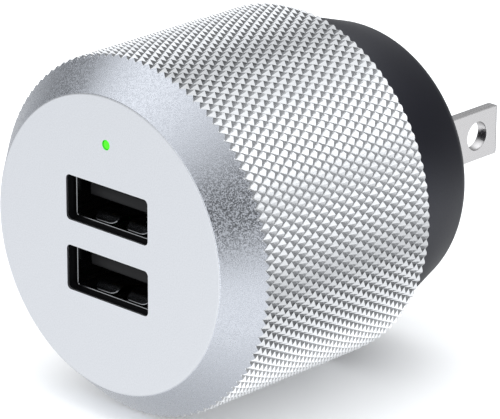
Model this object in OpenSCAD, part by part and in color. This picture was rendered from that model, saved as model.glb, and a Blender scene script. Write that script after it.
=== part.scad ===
// Round wall charger with two USB ports, a knurled metal shell and two fixed blades.
// The axis lies along Y: the ports face -Y, the blades point to +Y, and +Z is up.
// The origin is the centre of the face that rests against the wall plate.

/* [Metal shell] */
// Diameter over the knurl's points
knurl_d = 44.5; // [44:0.5:56]
// Length from the front face to the wall face
body_len = 46; // [44:0.5:58]
// Length of the metal shell
shell_len = 32; // [30:0.5:33]
// Width of the front bevel, seen from the front
bevel_w = 4; // [3.5:0.1:4.5]
// Length of the front bevel, seen from the side
bevel_len = 4.5; // [4:0.1:5]
// Metal wall under the knurl's points
wall_t = 1.85; // [1.6:0.05:2.2]
// Metal behind the front face
face_t = 1; // [0.8:0.1:1.2]
// Metal across the bevelled shoulder
shoulder_t = 2.2; // [1.8:0.1:2.4]
// Bevel at the shell's rear rim
rear_bevel = 0.35; // [0.2:0.05:0.6]

/* [Inner liner] */
// Wall of the insulating liner
liner_t = 1.2; // [1:0.1:1.4]
// Wall of the collar that lines each port's cut-out
collar_t = 0.45; // [0.3:0.05:0.5]
// Thin metal lip in front of each collar
port_lip = 0.3; // [0.2:0.05:0.4]
// Clearance between fixed pieces that fit together
fit_gap = 0.05; // [0.03:0.01:0.1]

/* [Rear base] */
// How far the base's shoulder sits inside the knurl's points
base_step = 1.35; // [1.2:0.05:1.6]
// Radius of the flat face against the wall plate
wall_face_r = 13.65; // [12.5:0.1:14.5]
// Radius of the round edge beside the wall face
base_edge_r = 4; // [3.5:0.1:4.5]
// Wall of the base
base_wall = 2; // [1.8:0.1:2.4]
// Floor of the base, where the blades pass through
base_floor = 2.5; // [2:0.1:3]
// Wall of the spigot inside the liner
spigot_t = 1.6; // [1.2:0.1:1.8]
// Length of the spigot inside the liner
spigot_len = 4; // [3:0.5:5]

/* [Blades] */
// Distance between the blades' middles
blade_gap = 12.7; // [11:0.1:16]
// Height of each blade
blade_w = 6.35; // [5.5:0.05:7.6]
// Thickness of each blade
blade_t = 1.5; // [1.2:0.05:1.8]
// Length of each blade in front of the wall plate
blade_len = 16.4; // [15.9:0.1:18.3]
// Height of the blades' middle above the axis
blade_rise = 0.75; // [0:0.05:1]
// Radius of the hole in each blade
hole_r = 1.85; // [1.5:0.05:2]
// Distance from the wall face to the hole
hole_reach = 12.15; // [11.5:0.05:12.5]
// Bevel at the tip, across the thickness
tip_bevel = 0.4; // [0.2:0.05:0.5]
// Length of the bevel at the tip
tip_len = 0.6; // [0.4:0.1:1]
// Radius of the tip's corners
tip_r = 0.5; // [0.3:0.1:0.8]
// How far the shoulder stands out on each side
shoulder_out = 1.1; // [0.8:0.1:1.4]
// Length of the shoulder behind the base's floor
shoulder_len = 1.2; // [1:0.1:1.5]
// Height of the tail inside
tail_w = 5; // [4:0.1:5.3]
// Thickness of the clamp plate behind the shoulders
clamp_t = 1.4; // [1:0.1:1.6]
// Thickness of the contact springs' metal
spring_t = 0.4; // [0.3:0.05:0.5]

/* [Ports] */
// Width of the USB socket's metal shell
socket_w = 13.2; // [13:0.1:16]
// Height of the USB socket's metal shell
socket_h = 5.7; // [5.6:0.1:6]
// Length of the USB socket
socket_len = 14; // [13.5:0.1:14.5]
// Sheet metal of the USB socket
socket_t = 0.3; // [0.25:0.05:0.35]
// Depth of the socket behind the front face
socket_setback = 1.3; // [1.2:0.05:1.5]
// How much wider the cut-out is than the socket
port_margin = 0.3; // [0.1:0.05:0.4]
// Radius of the cut-out's corners
port_r = 0.6; // [0.4:0.1:0.9]
// Distance between the two ports
port_pitch = 8.8; // [8.5:0.1:10]
// Height of the middle between the ports above the axis
port_rise = 0.1; // [0:0.05:0.5]
// Width of the tongue
tongue_w = 11.1; // [11:0.1:11.3]
// Thickness of the tongue
tongue_t = 1.85; // [1.75:0.05:1.95]
// Length of the tongue
tongue_len = 8.9; // [8.8:0.1:9.2]
// Height of the tongue's middle above the port's middle
tongue_rise = 0.65; // [0.55:0.05:0.7]
// Depth of the tongue behind the socket's front edge
tongue_setback = 1.3; // [1:0.1:1.4]

/* [Indicator] */
// Radius of the light pipe where it shows
pipe_r = 0.58; // [0.5:0.02:0.8]
// Distance from the face's edge to the light pipe
pipe_inset = 5.8; // [5.5:0.1:6.5]
// Radius of the light pipe behind the face
pipe_head_r = 1.4; // [1.2:0.1:1.6]

/* [Circuit boards] */
// Thickness of both boards
board_t = 1.6; // [1.2:0.1:1.95]
// Space between the base's floor and the power board
tail_space = 6.9; // [6.8:0.1:7.5]
// Room between a board's rim and the wall around it
board_gap = 0.3; // [0.2:0.05:0.5]
// Radius of the posts under the power board
post_r = 1.5; // [1.2:0.1:1.6]
// Radius of the wire leads
lead_r = 0.3; // [0.25:0.05:0.35]

/* [Hidden] */

smooth = 96;
small = 32;
over = 1;

// Metal shell, from its outside inwards
knurl_r = knurl_d / 2;
face_r = knurl_r - bevel_w;
bore_r = knurl_r - wall_t;
inner_face_r = face_r + face_t * bevel_w / bevel_len - shoulder_t;
inner_bevel_end = face_t + (bore_r - inner_face_r) * bevel_len / bevel_w;

// Liner and base
liner_r = bore_r - fit_gap;
liner_in_r = liner_r - liner_t;
liner_front = face_t + fit_gap;
spigot_r = liner_in_r - fit_gap;
spigot_in_r = spigot_r - spigot_t;
base_r = knurl_r - base_step;
base_len = body_len - shell_len;
base_run = norm([base_r - wall_face_r, base_len - base_edge_r]);
base_rim = at_depth(shell_len) + fit_gap;
base_taper = atan((base_r - wall_face_r) / (base_len - base_edge_r)) - asin(base_edge_r / base_run);

// Ports
port_trim = 0.06;
port_w = socket_w + port_margin;
port_h = socket_h - port_trim;
port_heights = [port_rise + port_pitch / 2, port_rise - port_pitch / 2];
socket_front = at_depth(socket_setback);
socket_back = socket_front + socket_len;
socket_in_w = socket_w - 2 * socket_t;
socket_in_h = socket_h - 2 * socket_t;
tongue_front = socket_front + tongue_setback;
socket_r = 0.6;
contact_places = [-3.5, -1, 1, 3.5];
contact_w = 1;
contact_t = 0.25;
finger_w = 3.6;
finger_place = 2.6;
leg_w = 2;

// Boards: the port board sits behind the sockets, and the power board on the base's posts
port_board_r = spigot_in_r + spigot_t - board_gap;
port_board_front = socket_back + fit_gap;
port_board_back = port_board_front + board_t;
power_board_back = -(base_floor + tail_space);
power_board_front = power_board_back - board_t;
power_board_r = min(spigot_in_r, base_inside(power_board_back)) - board_gap;
stub = 0.8;
pin_stub = 0.6;
post_ring = 14.4;
post_turns = [50, 130, 230, 310];
stake_r = 0.8;

// Blades inside the base
blade_places = [-blade_gap / 2, blade_gap / 2];
clamp_back = -(base_floor + shoulder_len + fit_gap);
clamp_front = clamp_back - clamp_t;
tail_end = power_board_back + spring_t + 0.6;
clamp_w = blade_gap + 10;
clamp_h = blade_w + 2 * shoulder_out + 2;
clamp_pad_w = 4;
clamp_pin_r = 1;
clamp_pin_rise = 3.2;

// Light pipe
pipe_rise = face_r - pipe_inset;
led_t = 1;
led_front = port_board_front - led_t;

// Spacers, as [distance inside the power board's rim, turn]
spacer_places = [[2.2, 180], [1.9, 33.3], [1.9, -33.3]];
spacer_r = 1.6;

// Places of the parts on the boards, as [x, z]
header_x = 14.3;
header_w = 2.5;
pin_pitch = 2.54;
pin_t = 0.64;
transformer_x = 3.5;
core_w = 16;
core_h = 6;
winding_h = 13;
core_leg = 4;
core_yoke = 2;
transformer_len = 14;
flange_t = 0.8;
tube_t = 0.5;
input_places = [[-10, 4.6], [-10, -4.6]];
input_r = 4;
input_len = 13.5;
output_places = [[-4, 12], [-4, -12]];
output_r = 3.15;
output_len = 8;
choke_place = [-5, 12];
choke_r = 3;
choke_len = 7.5;
drum_t = 1;
fuse_place = [4.6, 9];
fuse_r = 1.5;
fuse_len = 6.4;
safety_place = [3, -10.6];
safety_r = 3.75;
safety_t = 3.4;
opto_place = [-4.8, -10.8];
bridge_place = [-4.5, -9];
switching_place = [0, 0.8];
rectifier_place = [11.2, 0];
charging_place = [-9.5, 0];
can_pitch = 3.5;
small_pitch = 2.5;

// y of a point that lies the given depth behind the front face
function at_depth(depth) = depth - body_len;

// Radius inside the base's tapered wall at the given y
function base_inside(y) = base_r - base_wall - (y - base_rim) * tan(base_taper);

// Solid turned about the Y axis from a profile of [radius, y] points
module turned() {
    rotate([-90, 0, 0])
        rotate_extrude($fn = smooth)
            children();
}

// Round bar along Y between two places
module rod(r, y0, y1, x = 0, z = 0, fn = small) {
    translate([x, y0, z])
        rotate([-90, 0, 0])
            cylinder(r = r, h = y1 - y0, $fn = fn);
}

// Box between y0 and y1, centred on x and z
module bar(w, h, y0, y1, x = 0, z = 0) {
    translate([x - w / 2, y0, z - h / 2])
        cube([w, y1 - y0, h]);
}

// Bar along Y with round corners
module round_bar(w, h, r, y0, y1, x = 0, z = 0) {
    translate([x, y0, z])
        rotate([-90, 0, 0])
            linear_extrude(y1 - y0) {
                square([w - 2 * r, h], center = true);
                square([w, h - 2 * r], center = true);
                for (sx = [-1, 1], sz = [-1, 1])
                    translate([sx * (w / 2 - r), sz * (h / 2 - r)])
                        circle(r, $fn = small);
            }
}

// Two wires side by side along Y, spread along X or Z
module lead_pair(place, pitch, along_x, r, y0, y1) {
    for (side = [-1, 1])
        rod(r, y0, y1,
            place[0] + (along_x ? side * pitch / 2 : 0),
            place[1] + (along_x ? 0 : side * pitch / 2), 16);
}

// Leads of every part that passes through the power board
module power_leads(r, y0, y1) {
    for (place = input_places)
        lead_pair(place, can_pitch, false, r, y0, y1);
    lead_pair(choke_place, small_pitch, true, r, y0, y1);
    lead_pair(fuse_place, fuse_len + 2, true, r, y0, y1);
    lead_pair(safety_place, small_pitch, true, r, y0, y1);
}

// Metal cup: front face, bevel, and the sleeve that carries the knurl
module housing_shell() {
    color("silver")
        difference() {
            turned()
                polygon([
                    [0, at_depth(0)],
                    [face_r, at_depth(0)],
                    [knurl_r, at_depth(bevel_len)],
                    [knurl_r, at_depth(shell_len - rear_bevel)],
                    [knurl_r - rear_bevel, at_depth(shell_len)],
                    [bore_r, at_depth(shell_len)],
                    [bore_r, at_depth(inner_bevel_end)],
                    [inner_face_r, at_depth(face_t)],
                    [0, at_depth(face_t)]
                ]);
            for (z = port_heights) {
                round_bar(port_w, port_h, port_r, at_depth(-over), at_depth(face_t + over), 0, z);
                round_bar(port_w + 2 * (collar_t + fit_gap), port_h + 2 * (collar_t + fit_gap),
                          port_r + collar_t, at_depth(port_lip), at_depth(face_t + over), 0, z);
            }
            rod(pipe_r + fit_gap, at_depth(-over), at_depth(face_t + over), 0, pipe_rise);
        }
}

// Insulating cup inside the metal shell, with a collar around each port
module inner_liner() {
    rib_h = 2;
    front_in = liner_front + liner_t;
    bevel_in = inner_bevel_end + liner_t * 0.4;
    color("dimgray")
        difference() {
            union() {
                turned()
                    polygon([
                        [0, at_depth(liner_front)],
                        [inner_face_r - fit_gap, at_depth(liner_front)],
                        [liner_r, at_depth(inner_bevel_end + fit_gap)],
                        [liner_r, at_depth(shell_len)],
                        [liner_in_r, at_depth(shell_len)],
                        [liner_in_r, at_depth(bevel_in + fit_gap)],
                        [inner_face_r - liner_t * 0.4, at_depth(front_in)],
                        [0, at_depth(front_in)]
                    ]);
                for (z = port_heights)
                    round_bar(port_w + 2 * collar_t, port_h + 2 * collar_t, port_r + collar_t,
                              at_depth(port_lip + fit_gap), at_depth(front_in), 0, z);
                for (turn = [45 : 90 : 315])
                    rotate([0, turn, 0])
                        translate([liner_in_r - rib_h, at_depth(bevel_in), -rib_h / 2])
                            cube([rib_h + liner_t / 2, port_board_front - fit_gap - at_depth(bevel_in),
                                  rib_h]);
            }
            for (z = port_heights) {
                round_bar(port_w, port_h, port_r, at_depth(0), at_depth(front_in), 0, z);
                round_bar(socket_w + 2 * fit_gap, socket_h + 2 * fit_gap, port_r, socket_front,
                          at_depth(front_in + over), 0, z);
            }
            rod(pipe_r + 2 * fit_gap, at_depth(0), at_depth(front_in + over), 0, pipe_rise);
        }
}

// Plastic base: a tapered cup with a round edge, a spigot inside the liner, and board posts
module rear_base() {
    inner_turn_y = base_rim + (base_r - base_wall - spigot_in_r) / tan(base_taper);
    floor_turn_y = -(base_floor + 1.5);
    slot_gap = 2 * fit_gap;
    color([0.13, 0.13, 0.15])
        difference() {
            union() {
                turned()
                    difference() {
                        union() {
                            polygon([
                                [0, 0],
                                [wall_face_r, 0],
                                [wall_face_r, -base_edge_r],
                                [wall_face_r + base_edge_r * cos(base_taper),
                                 base_edge_r * (sin(base_taper) - 1)],
                                [base_r, base_rim],
                                [spigot_r, base_rim],
                                [spigot_r, base_rim - spigot_len],
                                [0, base_rim - spigot_len]
                            ]);
                            translate([wall_face_r, -base_edge_r])
                                circle(base_edge_r, $fn = smooth);
                        }
                        polygon([
                            [-over, base_rim - spigot_len - over],
                            [spigot_in_r, base_rim - spigot_len - over],
                            [spigot_in_r, inner_turn_y],
                            [base_inside(floor_turn_y), floor_turn_y],
                            [wall_face_r, -base_floor],
                            [-over, -base_floor]
                        ]);
                    }
                for (turn = post_turns) {
                    rod(post_r, power_board_back, -base_floor + over / 2,
                        post_ring * cos(turn), post_ring * sin(turn));
                    rod(stake_r, power_board_front - pin_stub, power_board_back + over,
                        post_ring * cos(turn), post_ring * sin(turn));
                }
                bar(clamp_pad_w, clamp_h, clamp_back, -base_floor + over / 2, 0, blade_rise);
                for (side = [-1, 1])
                    rod(clamp_pin_r, clamp_front - pin_stub, -base_floor + over / 2,
                        0, blade_rise + side * clamp_pin_rise);
            }
            for (x = blade_places)
                bar(blade_t + slot_gap, blade_w + slot_gap, -base_floor - over, over, x, blade_rise);
        }
}

// One blade: a flat bar with a hole, a bevelled tip, shoulders and a tail
module blade(x) {
    shoulder_y = -(base_floor + shoulder_len);
    tip_y = blade_len;
    color("lightgray")
        difference() {
            intersection() {
                translate([x - blade_t, 0, blade_rise])
                    rotate([90, 0, 90])
                        linear_extrude(2 * blade_t) {
                            translate([-base_floor, -blade_w / 2])
                                square([tip_y + base_floor - tip_r, blade_w]);
                            translate([-base_floor, tip_r - blade_w / 2])
                                square([tip_y + base_floor, blade_w - 2 * tip_r]);
                            for (side = [-1, 1])
                                translate([tip_y - tip_r, side * (blade_w / 2 - tip_r)])
                                    circle(tip_r, $fn = small);
                            translate([shoulder_y, -blade_w / 2 - shoulder_out])
                                square([shoulder_len, blade_w + 2 * shoulder_out]);
                            translate([tail_end, -tail_w / 2])
                                square([shoulder_y - tail_end, tail_w]);
                        }
                translate([x, 0, -blade_w * 2])
                    linear_extrude(blade_w * 4)
                        polygon([
                            [-blade_t / 2, tail_end - over],
                            [blade_t / 2, tail_end - over],
                            [blade_t / 2, tip_y - tip_len],
                            [blade_t / 2 - tip_bevel, tip_y],
                            [tip_bevel - blade_t / 2, tip_y],
                            [-blade_t / 2, tip_y - tip_len]
                        ]);
            }
            translate([x, hole_reach, blade_rise])
                rotate([0, 90, 0])
                    cylinder(r = hole_r, h = 2 * blade_t, center = true, $fn = 64);
        }
}

module blade_left() {
    blade(blade_places[0]);
}

module blade_right() {
    blade(blade_places[1]);
}

// Plate that holds the blades' shoulders against the base's floor
module blade_clamp() {
    color("ivory")
        difference() {
            round_bar(clamp_w, clamp_h, 1.5, clamp_front, clamp_back, 0, blade_rise);
            for (x = blade_places)
                bar(blade_t + 2 * fit_gap, tail_w + 2 * fit_gap, clamp_front - over,
                    clamp_back + over, x, blade_rise);
            for (side = [-1, 1])
                rod(clamp_pin_r + fit_gap, clamp_front - over, clamp_back + over,
                    0, blade_rise + side * clamp_pin_rise);
        }
}

// Forked spring on the power board that grips one blade's tail
module contact_spring(x) {
    leaf_x = blade_t / 2 + spring_t / 2 + fit_gap / 2;
    foot_h = tail_w - 0.6;
    color("goldenrod") {
        bar(2 * leaf_x + spring_t, foot_h, power_board_back, power_board_back + spring_t,
            x, blade_rise);
        for (side = [-1, 1])
            bar(spring_t, foot_h, power_board_back, clamp_front - 0.5, x + side * leaf_x, blade_rise);
    }
}

module contact_spring_left() {
    contact_spring(blade_places[0]);
}

module contact_spring_right() {
    contact_spring(blade_places[1]);
}

// Clear rod that carries the light from the board to the face
module light_pipe() {
    head_front = liner_front + liner_t + fit_gap;
    color("palegreen") {
        rod(pipe_r, at_depth(0.05), at_depth(head_front), 0, pipe_rise);
        rod(pipe_head_r, at_depth(head_front), led_front - 0.3, 0, pipe_rise);
    }
}

// Light source on the port board
module status_led() {
    color("white") {
        bar(3, 1.6, port_board_front - led_t / 2, port_board_front, 0, pipe_rise);
        bar(2, 1.2, led_front, port_board_front - led_t / 2, 0, pipe_rise);
    }
}

// Sheet-metal sleeve of one socket, with two spring fingers in its floor and four legs
module usb_shell(z) {
    finger_front = socket_front + 0.6;
    finger_root = socket_front + 6;
    finger_gap = 0.25;
    finger_rise = 0.6;
    finger_top = finger_front + 2;
    floor_z = z - socket_h / 2;
    color("lightgray") {
        difference() {
            round_bar(socket_w, socket_h, socket_r, socket_front, socket_back, 0, z);
            round_bar(socket_in_w, socket_in_h, socket_r - socket_t, socket_front - over,
                      socket_back + over, 0, z);
            for (side = [-1, 1])
                bar(finger_w + 2 * finger_gap, 2 * socket_t, finger_front - finger_gap, finger_root,
                    side * finger_place, floor_z);
        }
        for (side = [-1, 1])
            translate([side * finger_place - finger_w / 2, 0, floor_z])
                rotate([90, 0, 90])
                    linear_extrude(finger_w)
                        polygon([
                            [finger_root + socket_t, 0],
                            [finger_root + socket_t, socket_t],
                            [finger_root, socket_t],
                            [finger_top, socket_t + finger_rise],
                            [finger_front, socket_t],
                            [finger_front, fit_gap],
                            [finger_top, finger_rise + fit_gap],
                            [finger_root, 0]
                        ]);
        for (side = [-1, 1])
            bar(socket_t, leg_w, socket_back - over, port_board_back + stub,
                side * (socket_w - socket_t) / 2, z);
    }
}

module usb_shell_upper() {
    usb_shell(port_heights[0]);
}

module usb_shell_lower() {
    usb_shell(port_heights[1]);
}

// Plastic block at the back of one socket, with the tongue that carries the contacts
module usb_tongue(z) {
    block_front = tongue_front + tongue_len;
    tongue_low = z + tongue_rise - tongue_t / 2;
    color([0.2, 0.2, 0.2])
        difference() {
            union() {
                round_bar(socket_in_w - 2 * fit_gap, socket_in_h - 2 * fit_gap, socket_r - socket_t,
                          block_front, socket_back, 0, z);
                bar(tongue_w, tongue_t, tongue_front, block_front + over, 0, z + tongue_rise);
            }
            for (x = contact_places)
                bar(contact_w + 2 * fit_gap, 2 * (contact_t + fit_gap), tongue_front + stub,
                    socket_back + over, x, tongue_low);
        }
}

module usb_tongue_upper() {
    usb_tongue(port_heights[0]);
}

module usb_tongue_lower() {
    usb_tongue(port_heights[1]);
}

// Four contact strips under one tongue, each passing through the port board
module usb_contacts(z) {
    color("gold")
        for (x = contact_places)
            bar(contact_w, contact_t, tongue_front + stub + fit_gap, port_board_back + stub,
                x, z + tongue_rise - tongue_t / 2 + contact_t / 2);
}

module usb_contacts_upper() {
    usb_contacts(port_heights[0]);
}

module usb_contacts_lower() {
    usb_contacts(port_heights[1]);
}

// Round board behind the sockets
module port_board() {
    color("darkgreen")
        difference() {
            rod(port_board_r, port_board_front, port_board_back, fn = smooth);
            for (z = port_heights) {
                for (x = contact_places)
                    rod(contact_w / 2 + 0.1, port_board_front - over, port_board_back + over,
                        x, z + tongue_rise - tongue_t / 2);
                for (side = [-1, 1])
                    rod(leg_w / 2 + 0.15, port_board_front - over, port_board_back + over,
                        side * (socket_w - socket_t) / 2, z);
            }
            for (step = [-2 : 2])
                rod(pin_t * 0.8, port_board_front - over, port_board_back + over,
                    header_x, step * pin_pitch);
            for (place = output_places)
                lead_pair(place, small_pitch, true, lead_r + 0.1, port_board_front - over,
                          port_board_back + over);
        }
}

// Round board on the base's posts
module power_board() {
    color("darkgreen")
        difference() {
            rod(power_board_r, power_board_front, power_board_back, fn = smooth);
            for (turn = post_turns)
                rod(stake_r + fit_gap, power_board_front - over, power_board_back + over,
                    post_ring * cos(turn), post_ring * sin(turn));
            for (step = [-2 : 2])
                rod(pin_t * 0.8, power_board_front - over, power_board_back + over,
                    header_x, step * pin_pitch);
            power_leads(lead_r + 0.1, power_board_front - over, power_board_back + over);
        }
}

// Pillars that hold the two boards apart
module board_spacers() {
    color("whitesmoke")
        for (place = spacer_places)
            rod(spacer_r, port_board_back, power_board_front,
                (power_board_r - place[0]) * cos(place[1]), (power_board_r - place[0]) * sin(place[1]));
}

// Plastic strip that keeps the link pins in line
module link_header() {
    color([0.15, 0.15, 0.15])
        difference() {
            bar(header_w, 5 * pin_pitch, port_board_back, port_board_back + header_w, header_x, 0);
            for (step = [-2 : 2])
                bar(pin_t + fit_gap, pin_t + fit_gap, port_board_back - over,
                    port_board_back + header_w + over, header_x, step * pin_pitch);
        }
}

// Pins that carry the low voltage from the power board to the port board
module link_pins() {
    color("gold")
        for (step = [-2 : 2])
            bar(pin_t, pin_t, port_board_front - pin_stub, power_board_back + over,
                header_x, step * pin_pitch);
}

// Ferrite core: a ring around the winding and a leg through the bobbin
module transformer_core() {
    y0 = power_board_front - transformer_len;
    side = core_leg / 2;
    color([0.25, 0.25, 0.27])
        difference() {
            bar(core_w, core_h, y0 + flange_t, power_board_front - flange_t, transformer_x, 0);
            for (s = [-1, 1])
                bar((core_w - core_leg) / 2 - side, core_h + over, y0 + flange_t + core_yoke,
                    power_board_front - flange_t - core_yoke,
                    transformer_x + s * ((core_w + core_leg) / 4 - side / 2), 0);
        }
}

// Bobbin: a square tube on the core's leg with a flange at each end of the winding
module transformer_bobbin() {
    y0 = power_board_front - transformer_len + flange_t + core_yoke + fit_gap;
    y1 = power_board_front - flange_t - core_yoke - fit_gap;
    leg = core_leg + 2 * fit_gap;
    flange_w = core_w - core_leg - 2 * fit_gap;
    color("black")
        difference() {
            union() {
                bar(leg + 2 * tube_t, core_h + 2 * fit_gap + 2 * tube_t, y0, y1, transformer_x, 0);
                for (y = [y0, y1 - flange_t])
                    bar(flange_w, winding_h, y, y + flange_t, transformer_x, 0);
            }
            bar(leg, core_h + 2 * fit_gap, y0 - over, y1 + over, transformer_x, 0);
        }
}

// Taped winding between the bobbin's flanges
module transformer_winding() {
    y0 = power_board_front - transformer_len + 2 * flange_t + core_yoke + 2 * fit_gap;
    y1 = power_board_front - 2 * flange_t - core_yoke - 2 * fit_gap;
    wound_w = core_w - core_leg - 4 * fit_gap;
    color("gold")
        difference() {
            round_bar(wound_w, winding_h - 0.8, 1.5, y0, y1, transformer_x, 0);
            bar(core_leg + 2 * tube_t + 4 * fit_gap, core_h + 2 * tube_t + 4 * fit_gap,
                y0 - over, y1 + over, transformer_x, 0);
        }
}

// Round can with a groove near its seal, standing on a board; dir is +1 or -1 along Y
module capacitor_can(place, r, len, foot_y, dir) {
    groove = 0.35;
    translate([place[0], foot_y, place[1]])
        rotate([-90 * dir, 0, 0])
            rotate_extrude($fn = 48)
                polygon([
                    [0, 0],
                    [r - groove, 0],
                    [r, groove],
                    [r, 1.2],
                    [r - groove, 1.6],
                    [r, 2],
                    [r, len - groove],
                    [r - groove, len],
                    [0, len]
                ]);
}

module input_capacitor(place) {
    color("midnightblue") {
        capacitor_can(place, input_r, input_len, power_board_front, -1);
        lead_pair(place, can_pitch, false, lead_r, power_board_front - over / 2,
                  power_board_back + over);
    }
}

module input_capacitor_upper() {
    input_capacitor(input_places[0]);
}

module input_capacitor_lower() {
    input_capacitor(input_places[1]);
}

module output_capacitor(place) {
    color("silver") {
        capacitor_can(place, output_r, output_len, port_board_back, 1);
        lead_pair(place, small_pitch, true, lead_r, port_board_front - pin_stub,
                  port_board_back + over / 2);
    }
}

module output_capacitor_upper() {
    output_capacitor(output_places[0]);
}

module output_capacitor_lower() {
    output_capacitor(output_places[1]);
}

// Ferrite drum with its leads
module choke_core() {
    y0 = power_board_front - choke_len;
    color([0.25, 0.25, 0.27]) {
        rod(choke_r, y0, y0 + drum_t, choke_place[0], choke_place[1]);
        rod(choke_r / 2, y0, power_board_front, choke_place[0], choke_place[1]);
        rod(choke_r, power_board_front - drum_t, power_board_front, choke_place[0], choke_place[1]);
        lead_pair(choke_place, small_pitch, true, lead_r, power_board_front - drum_t / 2,
                  power_board_back + over);
    }
}

// Wire wound on the drum
module choke_winding() {
    color("peru")
        difference() {
            rod(choke_r - 0.3, power_board_front - choke_len + drum_t + fit_gap,
                power_board_front - drum_t - fit_gap, choke_place[0], choke_place[1]);
            rod(choke_r / 2 + fit_gap, power_board_front - choke_len, power_board_front,
                choke_place[0], choke_place[1]);
        }
}

// Fusible resistor lying on the power board, with both leads bent down
module fuse_resistor() {
    body_y = power_board_front - fuse_r - 0.3;
    half = fuse_len / 2 + 1;
    color("darkseagreen") {
        translate([fuse_place[0], body_y, fuse_place[1]])
            rotate([0, 90, 0])
                cylinder(r = fuse_r, h = fuse_len, center = true, $fn = small);
        translate([fuse_place[0], body_y, fuse_place[1]])
            rotate([0, 90, 0])
                cylinder(r = lead_r * 0.75, h = 2 * half, center = true, $fn = 16);
        lead_pair(fuse_place, 2 * half, true, lead_r, body_y - lead_r, power_board_back + over);
    }
}

// Disc capacitor between the mains side and the low-voltage side
module safety_capacitor() {
    body_y = power_board_front - safety_r - 0.4;
    color("royalblue") {
        translate([safety_place[0], body_y, safety_place[1]])
            cylinder(r = safety_r, h = safety_t, center = true, $fn = 48);
        lead_pair(safety_place, small_pitch, true, lead_r, body_y, power_board_back + over);
    }
}

// Chip package with gull-wing legs on a board face; dir is the side it stands on
module chip(place, w, h, t, legs, leg_out, foot_y, dir) {
    leg_pitch = 1.27;
    leg_t = 0.25;
    y0 = dir > 0 ? foot_y + 0.1 : foot_y - 0.1 - t;
    bar(w, h, y0, y0 + t, place[0], place[1]);
    for (n = [0 : legs - 1])
        bar(0.45, h + 2 * leg_out, dir > 0 ? foot_y : foot_y - leg_t,
            dir > 0 ? foot_y + leg_t : foot_y, place[0] + (n - (legs - 1) / 2) * leg_pitch, place[1]);
}

// Isolated feedback between the two sides of the supply
module optocoupler() {
    color("black")
        chip(opto_place, 4.6, 3.6, 2.2, 2, 0.8, power_board_front, -1);
}

// Mains rectifier, on the board's wall side
module bridge_rectifier() {
    color("black")
        chip(bridge_place, 4.7, 3.9, 1.5, 2, 1.2, power_board_back, 1);
}

// Controller with its built-in switch, on the board's wall side
module switching_chip() {
    color("black")
        chip(switching_place, 4.9, 3.9, 1.5, 4, 1.1, power_board_back, 1);
}

// Low-voltage rectifier, on the board's wall side
module output_rectifier() {
    color("black")
        chip(rectifier_place, 3.6, 4.6, 1.2, 1, 0.8, power_board_back, 1);
}

// Chip that tells each device how much current it may draw
module charging_chip() {
    color("black")
        chip(charging_place, 4.9, 3.9, 1.5, 4, 1.1, port_board_back, 1);
}

// Small surface parts in two rows on the power board's wall side
module chip_resistors() {
    color([0.1, 0.1, 0.1])
        for (n = [-2 : 2], side = [-1, 1])
            bar(0.8, 1.6, power_board_back, power_board_back + 0.45, n * 2.2 + side * 0.3,
                side * 14.6);
}

// Small surface parts in a column on the port board's rear side
module chip_capacitors() {
    color("tan")
        for (n = [1 : 3], side = [-1, 1])
            bar(1.6, 0.8, port_board_back, port_board_back + 0.8, -15, side * (2 + n * 1.4));
}

housing_shell();
inner_liner();
rear_base();
blade_left();
blade_right();
blade_clamp();
contact_spring_left();
contact_spring_right();
light_pipe();
status_led();
usb_shell_upper();
usb_shell_lower();
usb_tongue_upper();
usb_tongue_lower();
usb_contacts_upper();
usb_contacts_lower();
port_board();
power_board();
board_spacers();
link_header();
link_pins();
transformer_core();
transformer_bobbin();
transformer_winding();
input_capacitor_upper();
input_capacitor_lower();
output_capacitor_upper();
output_capacitor_lower();
choke_core();
choke_winding();
fuse_resistor();
safety_capacitor();
optocoupler();
bridge_rectifier();
switching_chip();
output_rectifier();
charging_chip();
chip_resistors();
chip_capacitors();
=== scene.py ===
# %% [markdown]
# # A round wall charger with a knurled metal shell
# The object is a turned aluminium cup with two USB ports in its face, a tapered plastic base, and
# two flat mains blades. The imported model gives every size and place, so the first cell loads it and
# remembers its box. All lengths are metres: the charger's axis lies along Y, the ports face -Y, and
# the origin is the centre of the face that rests on the wall.

# %% Load the frame
import math

import bmesh
import bpy
from mathutils import Matrix, Vector


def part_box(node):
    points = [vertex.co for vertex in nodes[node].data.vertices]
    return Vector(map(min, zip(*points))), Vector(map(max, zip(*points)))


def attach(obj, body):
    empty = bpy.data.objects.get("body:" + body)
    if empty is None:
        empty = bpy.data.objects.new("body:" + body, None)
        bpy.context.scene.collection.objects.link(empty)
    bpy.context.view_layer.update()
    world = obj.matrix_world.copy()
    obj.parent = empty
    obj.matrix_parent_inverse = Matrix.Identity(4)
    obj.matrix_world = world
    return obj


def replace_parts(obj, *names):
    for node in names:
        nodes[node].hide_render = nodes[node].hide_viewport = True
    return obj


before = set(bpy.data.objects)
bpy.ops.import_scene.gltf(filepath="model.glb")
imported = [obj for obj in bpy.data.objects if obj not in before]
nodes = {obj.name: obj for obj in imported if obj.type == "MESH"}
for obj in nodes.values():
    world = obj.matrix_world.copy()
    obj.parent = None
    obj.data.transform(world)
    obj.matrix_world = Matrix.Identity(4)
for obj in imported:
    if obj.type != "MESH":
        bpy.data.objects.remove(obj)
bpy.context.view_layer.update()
MM = 0.001

# %% [markdown]
# The main sizes are read from the frame's own boxes, so the looks follow the model if it changes.
# Only what a box can't tell, such as a bevel's width or a wall's thickness, is written here.

# %% Sizes from the frame
shell_low, shell_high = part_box("housing_shell")
_, base_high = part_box("rear_base")
blade_low, blade_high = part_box("blade_right")
pipe_low, pipe_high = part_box("light_pipe")

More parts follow.
